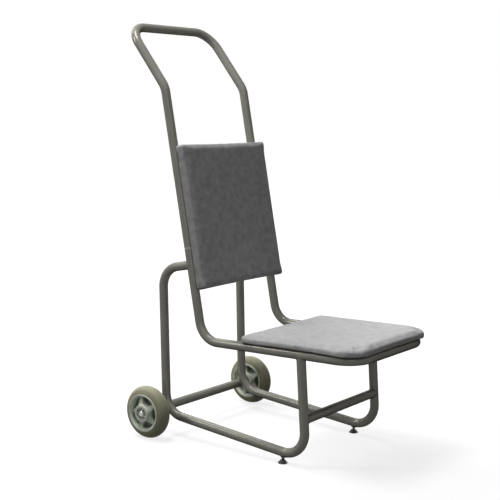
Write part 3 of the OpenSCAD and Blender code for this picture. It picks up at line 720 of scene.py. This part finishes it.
def weld_tree(material):
    """Lays overlapping ripples along every path of the input mesh."""
    group, given, out = new_group(
        "weld_bead", "GeometryNodeTree",
        [("Geometry", "NodeSocketGeometry", None), ("Radius", "NodeSocketFloat", 0.002),
         ("Pitch", "NodeSocketFloat", 0.0017)],
        [("Geometry", "NodeSocketGeometry")])
    path = add_node(group, "GeometryNodeMeshToCurve", {"Mesh": given.outputs["Geometry"]})
    even = add_node(group, "GeometryNodeResampleCurve",
                    {"Curve": path.outputs["Curve"], "Length": given.outputs["Pitch"]}, mode="LENGTH")
    ripple = add_node(group, "GeometryNodeMeshUVSphere",
                      {"Segments": 8, "Rings": 5, "Radius": given.outputs["Radius"]})
    tangent = add_node(group, "GeometryNodeInputTangent").outputs["Tangent"]
    turn = add_node(group, "FunctionNodeAlignRotationToVector", {"Vector": tangent}, axis="Z")
    squeeze = add_node(group, "ShaderNodeCombineXYZ", {"X": 1.0, "Y": 1.0, "Z": 0.75}).outputs[0]
    vary = add_node(group, "FunctionNodeRandomValue", {2: 0.9, 3: 1.1, "Seed": 7}, data_type="FLOAT")
    size = add_node(group, "ShaderNodeVectorMath", {0: squeeze, "Scale": vary.outputs[1]}, operation="SCALE")
    place = add_node(group, "GeometryNodeInstanceOnPoints",
                     {"Points": even.outputs["Curve"], "Instance": ripple.outputs["Mesh"],
                      "Rotation": turn.outputs["Rotation"], "Scale": size.outputs[0]})
    real = add_node(group, "GeometryNodeRealizeInstances", {"Geometry": place.outputs["Instances"]})
    smooth = add_node(group, "GeometryNodeSetShadeSmooth", {"Geometry": real.outputs["Geometry"]})
    finish = add_node(group, "GeometryNodeSetMaterial",
                      {"Geometry": smooth.outputs["Geometry"], "Material": material})
    group.links.new(finish.outputs["Geometry"], out.inputs["Geometry"])
    return group


def saddle(at, toward, across, steps=48):
    """Line round a tube where it meets another of the same size.

    It comes from toward, and across is the other's run."""
    along = toward.normalized()
    run = across.normalized()
    side = run.cross(along).normalized()
    up = along.cross(side)
    line = []
    for k in range(steps):
        a = 2 * math.pi * k / steps
        ring = TUBE_R * (math.cos(a) * up + math.sin(a) * side)
        flat_ring = ring - ring.dot(run) * run
        flat_along = along - along.dot(run) * run
        qa = flat_along.length_squared
        qb = 2 * flat_ring.dot(flat_along)
        qc = flat_ring.length_squared - TUBE_R ** 2
        reach = (-qb + math.sqrt(max(0.0, qb * qb - 4 * qa * qc))) / (2 * qa)
        line.append(at + ring + along * reach)
    return line


def crossing_ring(side, ring_r=0.0085, steps=36):
    """Line round the spot where the rear bend of a side frame rests on the axle tube."""
    lift = Vector((0, -math.sin(RAIL_FALL), math.cos(RAIL_FALL)))
    back = Vector((0, math.cos(RAIL_FALL), math.sin(RAIL_FALL)))
    bend_r, reach = 0.0625, 0.08765
    high = (AXLE - RAIL_FRONT).dot(lift) - bend_r
    ahead = math.sqrt(reach ** 2 - high ** 2)
    normal = (-high * lift - ahead * back).normalized()
    slide = normal.cross(Vector((1, 0, 0)))
    spot = AXLE + Vector((side * HALF_WIDTH, 0, 0)) + normal * TUBE_R
    line = []
    for k in range(steps):
        a = 2 * math.pi * k / steps
        x, s = ring_r * math.cos(a), ring_r * math.sin(a)
        line.append(spot + Vector((x, 0, 0)) + slide * s + normal * (x * x - s * s) / (4 * TUBE_R))
    return line


def tab_line(place, y, side):
    """Line under a tab, along the tube that it is welded to."""
    z = TUBE_R - TAB_T
    x = HALF_WIDTH - math.sqrt(TUBE_R ** 2 - z ** 2)
    return [place @ Vector((side * x, y + k * TAB_WELD, z)) for k in (-1, 0, 1)]


class TROLLEY_OT_welds(bpy.types.Operator):
    """Lay weld beads round the tube joints and along the tabs"""

    bl_idname = "trolley.welds"
    bl_label = "Weld beads"

    def execute(self, context):
        rings, lines = [], []
        x_axis = Vector((1, 0, 0))
        leg = LEG_TOP - RAIL_FRONT
        upright = HANDLE_CORNER - SEAT_CORNER
        seat_run = Matrix.Rotation(-SEAT_RISE, 3, "X") @ Vector((0, 1, 0))
        for side in SIDES.values():
            out = Vector((side * HALF_WIDTH, 0, 0))
            rings.append(saddle(LEG_TOP + out, -leg, seat_run))
            rings.append(saddle(STUB_END + out, STUB_CORNER - STUB_END, upright))
            rings.append(saddle(FRONT_TUBE + out, -side * x_axis, leg))
            rings.append(crossing_ring(side))
            lines += [tab_line(SEAT_PLACE, y, side) for y in SEAT_TABS]
            lines += [tab_line(BACK_PLACE, y, side) for y in BACK_TABS]
        mesh = bpy.data.meshes.new("weld_lines")
        points, edges = [], []
        for number, line in enumerate(rings + lines):
            start = len(points)
            points += line
            edges += [(start + k, start + k + 1) for k in range(len(line) - 1)]
            if number < len(rings):
                edges.append((start + len(line) - 1, start))
        mesh.from_pydata(points, edges, [])
        carrier = bpy.data.objects.new("weld_lines", mesh)
        context.scene.collection.objects.link(carrier)
        made = carrier.modifiers.new("beads", "NODES")
        made.node_group = weld_tree(frame_paint())
        keys = {item.name: item.identifier for item in made.node_group.interface.items_tree
                if item.in_out == "INPUT"}
        made[keys["Radius"]] = sizes().weld_radius
        made[keys["Pitch"]] = sizes().weld_pitch
        beads = plain_mesh(carrier, "weld_beads")
        bpy.data.objects.remove(carrier)
        if not beads.polygons:
            raise RuntimeError("the weld beads came out empty")
        add_piece("weld_beads", beads, "frame", "frame_paint")
        return {"FINISHED"}


class TROLLEY_OT_pads(bpy.types.Operator):
    """Make the seat cushion and the back pad as inflated cloth over their boards"""

    bl_idname = "trolley.pads"
    bl_label = "Seat cushion and back pad"

    def make(self, context, pad, swell, cloth):
        outline = pad_outline(*pad.size, *pad.corners, SIDE_PULL)
        board = pad_outline(*pad.board_size, *pad.board_corners, 0)
        piece = bpy.data.objects.new(pad.name, pad_blank(pad.name, outline, pad.thickness, pad.edge))
        context.scene.collection.objects.link(piece)
        apply_modifier(piece, "REMESH", mode="VOXEL", voxel_size=sizes().pad_voxel)
        inflate(piece, swell, sizes().side_rise, sizes().pressure)
        tuck(piece, pad.droop)
        apply_modifier(piece, "SUBSURF", levels=1, render_levels=1)
        block = bpy.data.objects.new("board_room", prism("board_room", board, *BOARD_ROOM))
        context.scene.collection.objects.link(block)
        context.view_layer.update()
        apply_modifier(piece, "BOOLEAN", operation="DIFFERENCE", solver="EXACT", object=block)
        bpy.data.objects.remove(block)
        mesh = piece.data
        bpy.data.objects.remove(piece)
        weave_map(mesh)
        mesh.transform(pad.place @ Matrix.Translation((0, pad.middle, PAD_BASE)))
        mesh.shade_smooth()
        mesh.set_sharp_from_angle(angle=CLOTH_FOLD)
        mesh.materials.clear()
        mesh.materials.append(cloth)
        made = add_piece(pad.name, mesh, "frame", pad.slot, pad.node)

    def execute(self, context):
        seat_weave = pad_cloth("seat_weave", colours().seat_cloth, mottle=0.15)
        self.make(context, SEAT_PAD, sizes().seat_rise, seat_weave)
        # Painted shade: the back pad's cloth is the seat's, given a darker colour.
        back_weave_shaded = pad_cloth("back_weave_shaded", colours().back_cloth, mottle=0.26)
        self.make(context, BACK_PAD, sizes().back_rise, back_weave_shaded)
        return {"FINISHED"}


class TROLLEY_OT_boards(bpy.types.Operator):
    """Stain the boards under the pads and plate their screws"""

    bl_idname = "trolley.boards"
    bl_label = "Boards and screws"

    def execute(self, context):
        dress(board_stain("seat_stain", SEAT_RISE), "seat_board")
        dress(board_stain("back_stain", BACK_LEAN - math.pi / 2), "back_board")
        dress(zinc_plate(), "seat_screws", "back_screws")
        return {"FINISHED"}


def tyre_profile():
    """Section of the tyre: round crown with a mould line, a groove on each side wall, flat seat."""
    centre, r, bed, lip, shelf = 0.0525, 0.0225, 0.04905, 0.05405, 0.02045
    line_height, line_spread = 0.0003, 0.028
    groove_depth, groove_at, groove_spread = 0.0007, 1.12, 0.035
    end = math.asin(math.sqrt(r * r - (lip - centre) ** 2) / r)
    arc = []
    steps = 72
    for k in range(steps + 1):
        a = -end + 2 * end * k / steps
        line = line_height * math.exp(-(a / line_spread) ** 2)
        groove = groove_depth * math.exp(-((abs(a) - groove_at) / groove_spread) ** 2)
        reach = r - line_height + line - groove
        arc.append((centre + reach * math.cos(a), reach * math.sin(a)))
    return [(bed, -shelf), (lip, -shelf), *arc, (lip, shelf), (bed, shelf)]


class TROLLEY_OT_wheels(bpy.types.Operator):
    """Make the tyres and finish the rims and bearings"""

    bl_idname = "trolley.wheels"
    bl_label = "Wheels"

    def execute(self, context):
        for name, side in SIDES.items():
            mesh = lathe(f"{name}_tyre_rubber", tyre_profile(), TYRE_STEPS)
            mesh.transform(Matrix.Translation(AXLE + Vector((side * WHEEL_MID, 0, 0)))
                           @ Matrix.Rotation(side * math.pi / 2, 4, "Y"))
            mesh.set_sharp_from_angle(angle=HARD_EDGE)
            mesh.materials.append(tyre_rubber())
            add_piece(f"{name}_tyre_rubber", mesh, f"{name}_wheel", "wheel_tyre", f"{name}_tyre")
            dress(rim_plastic(), f"{name}_rim")
            dress(bearing_steel(), *[f"{name}_bearing_{steel}" for steel in ("outers", "inners", "balls")])
            dress(seal_rubber(), f"{name}_bearing_seals")
            dress(plain_steel(), f"{name}_bearing_sleeve")
        return {"FINISHED"}


class TROLLEY_OT_axle(bpy.types.Operator):
    """Plate the axle, its plugs, spacers, washers and cap nuts"""

    bl_idname = "trolley.axle"
    bl_label = "Axle and cap nuts"

    def execute(self, context):
        dress(zinc_plate(), "axle_rod", "left_axle_spacer", "right_axle_spacer", "axle_washers")
        dress(plain_steel(), "left_axle_plug", "right_axle_plug")
        dress(bright_plate(), "left_cap_nut", "right_cap_nut")
        return {"FINISHED"}


def stud_mesh(name, pitch):
    """Foot stud along Z from the middle of its ball: ball, neck and threaded shank."""
    ball_r, neck_r, shank_r, core_r = 0.0045, 0.0025, 0.004, 0.0034
    start, insert_top = 0.0055, 0.002
    length = FOOT_DROP + insert_top - start
    steps, ball_steps, pitch_steps = 28, 15, 10
    rows = [(0.0, -ball_r, 0.0)]
    for k in range(1, ball_steps + 1):
        a = -math.pi / 2 + (math.pi / 2 + math.acos(neck_r / ball_r)) * k / ball_steps
        rows.append((ball_r * math.cos(a), ball_r * math.sin(a), 0.0))
    rows += [(neck_r, start, 0.0), (core_r, start, 0.0)]
    count = round(length / pitch * pitch_steps)
    for k in range(1, count):
        z = start + length * k / count
        ease = min(1.0, (z - start) / pitch, (start + length - z) / pitch)
        rows.append((core_r, z, (shank_r - core_r) * ease))
    rows += [(core_r, start + length, 0.0), (0.0, start + length, 0.0)]
    build = bmesh.new()
    rings = []
    for r, z, depth in rows:
        if r == 0:
            rings.append([build.verts.new((0, 0, z))] * steps)
            continue
        ring = []
        for k in range(steps):
            turn = (z / pitch - k / steps) % 1.0
            reach = r + depth * (1 - abs(2 * turn - 1))
            a = 2 * math.pi * k / steps
            ring.append(build.verts.new((reach * math.cos(a), reach * math.sin(a), z)))
        rings.append(ring)
    skin(build, rings)
    bmesh.ops.recalc_face_normals(build, faces=build.faces)
    mesh = as_mesh(build, name)
    mesh.shade_smooth()
    mesh.set_sharp_from_angle(angle=HARD_EDGE)
    return mesh


class TROLLEY_OT_feet(bpy.types.Operator):
    """Cut the threads of the levelling feet and finish their pads and inserts"""

    bl_idname = "trolley.feet"
    bl_label = "Levelling feet"

    def execute(self, context):
        for name, side in SIDES.items():
            mesh = stud_mesh(f"{name}_stud_thread", sizes().thread_pitch)
            mesh.transform(Matrix.Translation(FOOT_AT + Vector((side * HALF_WIDTH, 0, 0)))
                           @ Matrix.Rotation(RAIL_FALL, 4, "X") @ Matrix.Translation((0, 0, -FOOT_DROP)))
            mesh.materials.append(black_steel())
            add_piece(f"{name}_stud_thread", mesh, f"{name}_foot_stud", "plain_steel", f"{name}_foot_stud")
            dress(foot_plastic(), f"{name}_foot_pad")
            dress(frame_paint(), f"{name}_foot_insert")
        return {"FINISHED"}


def see_or_light(tree, seen, lit, output):
    """Shows one shader to the camera, gloss and glass, and another to the light that bounces."""
    path = add_node(tree, "ShaderNodeLightPath").outputs
    first = calc(tree, "MAXIMUM", path["Is Camera Ray"], path["Is Glossy Ray"])
    both = calc(tree, "MAXIMUM", first, path["Is Transmission Ray"])
    mix = add_node(tree, "ShaderNodeMixShader", {"Fac": both, 1: lit.outputs[0], 2: seen.outputs[0]})
    tree.links.new(mix.outputs[0], output.inputs["Surface"])


class TROLLEY_OT_stage(bpy.types.Operator):
    """Set the pale floor, the studio light and the camera"""

    bl_idname = "trolley.stage"
    bl_label = "Stage"

    def floor(self, scene):
        mesh = bpy.data.meshes.new("studio_floor")
        corners = [(FLOOR_REACH * x, FLOOR_REACH * y, 0) for x, y in ((-1, -1), (1, -1), (1, 1), (-1, 1))]
        mesh.from_pydata(corners, [], [(0, 1, 2, 3)])
        floor = bpy.data.objects.new("studio_floor", mesh)
        scene.collection.objects.link(floor)
        material = bpy.data.materials.new("studio_floor")
        material.use_nodes = True
        tree = material.node_tree
        tree.nodes.clear()
        output = add_node(tree, "ShaderNodeOutputMaterial")
        glow = add_node(tree, "ShaderNodeEmission", {"Color": rgba(WHITE), "Strength": FLOOR_GLOW})
        matt = add_node(tree, "ShaderNodeBsdfDiffuse", {"Color": rgba(WHITE, 0.94)})
        dim = add_node(tree, "ShaderNodeBsdfDiffuse", {"Color": rgba(WHITE, 0.05)})
        far = add_node(tree, "ShaderNodeVectorMath", {0: object_place(tree)}, operation="LENGTH")
        shadow = ranged(tree, far.outputs["Value"], 0.4, 2.0, 0.3, 0.0, interpolation_type="SMOOTHSTEP")
        shown = add_node(tree, "ShaderNodeMixShader", {"Fac": shadow, 1: glow.outputs[0], 2: matt.outputs[0]})
        see_or_light(tree, shown, dim, output)
        mesh.materials.append(material)

    def softbox(self, scene, name, size, power, spot, target):
        lamp = bpy.data.lights.new(name, "AREA")
        lamp.shape = "RECTANGLE"
        lamp.size, lamp.size_y = size
        lamp.energy = power
        box = bpy.data.objects.new(name, lamp)
        box.location = spot
        box.rotation_euler = (Vector(target) - Vector(spot)).to_track_quat("-Z", "Y").to_euler()
        scene.collection.objects.link(box)

    def light(self, scene):
        for name, lamp in LAMPS.items():
            self.softbox(scene, name, *lamp)
        world = bpy.data.worlds.new("studio")
        world.use_nodes = True
        tree = world.node_tree
        tree.nodes.clear()
        output = add_node(tree, "ShaderNodeOutputWorld")
        white = add_node(tree, "ShaderNodeBackground", {"Color": rgba(WHITE), "Strength": 1.0})
        dim = add_node(tree, "ShaderNodeBackground", {"Color": rgba(WHITE), "Strength": SKY_GLOW})
        see_or_light(tree, white, dim, output)
        scene.world = world

    def camera(self, scene):
        yaw, pitch, roll = [math.radians(angle) for angle in CAMERA_TURN]
        ahead = Vector((-math.sin(yaw) * math.cos(pitch), math.cos(yaw) * math.cos(pitch), -math.sin(pitch)))
        right = Vector((math.cos(yaw), math.sin(yaw), 0))
        up = right.cross(ahead)
        tilted_right = math.cos(roll) * right + math.sin(roll) * up
        tilted_up = math.cos(roll) * up - math.sin(roll) * right
        lens = bpy.data.cameras.new("photo_camera")
        lens.lens = FOCAL_LENGTH
        lens.sensor_width = SENSOR_WIDTH
        lens.clip_end = VIEW_DEPTH
        camera = bpy.data.objects.new("photo_camera", lens)
        turn = Matrix((tilted_right, tilted_up, -ahead)).transposed()
        camera.matrix_world = Matrix.Translation(CAMERA_AT) @ turn.to_4x4()
        scene.collection.objects.link(camera)
        scene.camera = camera

    def execute(self, context):
        scene = context.scene
        self.floor(scene)
        self.light(scene)
        self.camera(scene)
        scene.view_settings.view_transform = "Standard"
        return {"FINISHED"}


class TROLLEY_PT_panel(bpy.types.Panel):
    """Lists the trolley's finishing steps and sizes"""

    bl_idname = "TROLLEY_PT_panel"
    bl_label = "Stacking chair trolley"
    bl_space_type = "VIEW_3D"
    bl_region_type = "UI"
    bl_category = "Trolley"

    def draw(self, context):
        layout = self.layout
        for step in OPERATORS:
            layout.operator(step.bl_idname, text=step.bl_label)
        for group in (context.scene.trolley_sizes, context.scene.trolley_colours):
            box = layout.box()
            for key in group.__annotations__:
                box.prop(group, key)


OPERATORS = (TROLLEY_OT_stage, TROLLEY_OT_frame, TROLLEY_OT_welds, TROLLEY_OT_pads, TROLLEY_OT_boards,
             TROLLEY_OT_wheels, TROLLEY_OT_axle, TROLLEY_OT_feet)
CLASSES = (TrolleySizes, TrolleyColours, *OPERATORS, TROLLEY_PT_panel)


def register():
    for item in CLASSES:
        bpy.utils.register_class(item)
    bpy.types.Scene.trolley_sizes = PointerProperty(type=TrolleySizes)
    bpy.types.Scene.trolley_colours = PointerProperty(type=TrolleyColours)


def unregister():
    del bpy.types.Scene.trolley_colours
    del bpy.types.Scene.trolley_sizes
    for item in reversed(CLASSES):
        bpy.utils.unregister_class(item)


def main():
    register()
    bpy.ops.trolley.stage()
    bpy.ops.trolley.frame()
    bpy.ops.trolley.welds()
    bpy.ops.trolley.pads()
    bpy.ops.trolley.boards()
    bpy.ops.trolley.wheels()
    bpy.ops.trolley.axle()
    bpy.ops.trolley.feet()


if __name__ == "__main__":
    main()
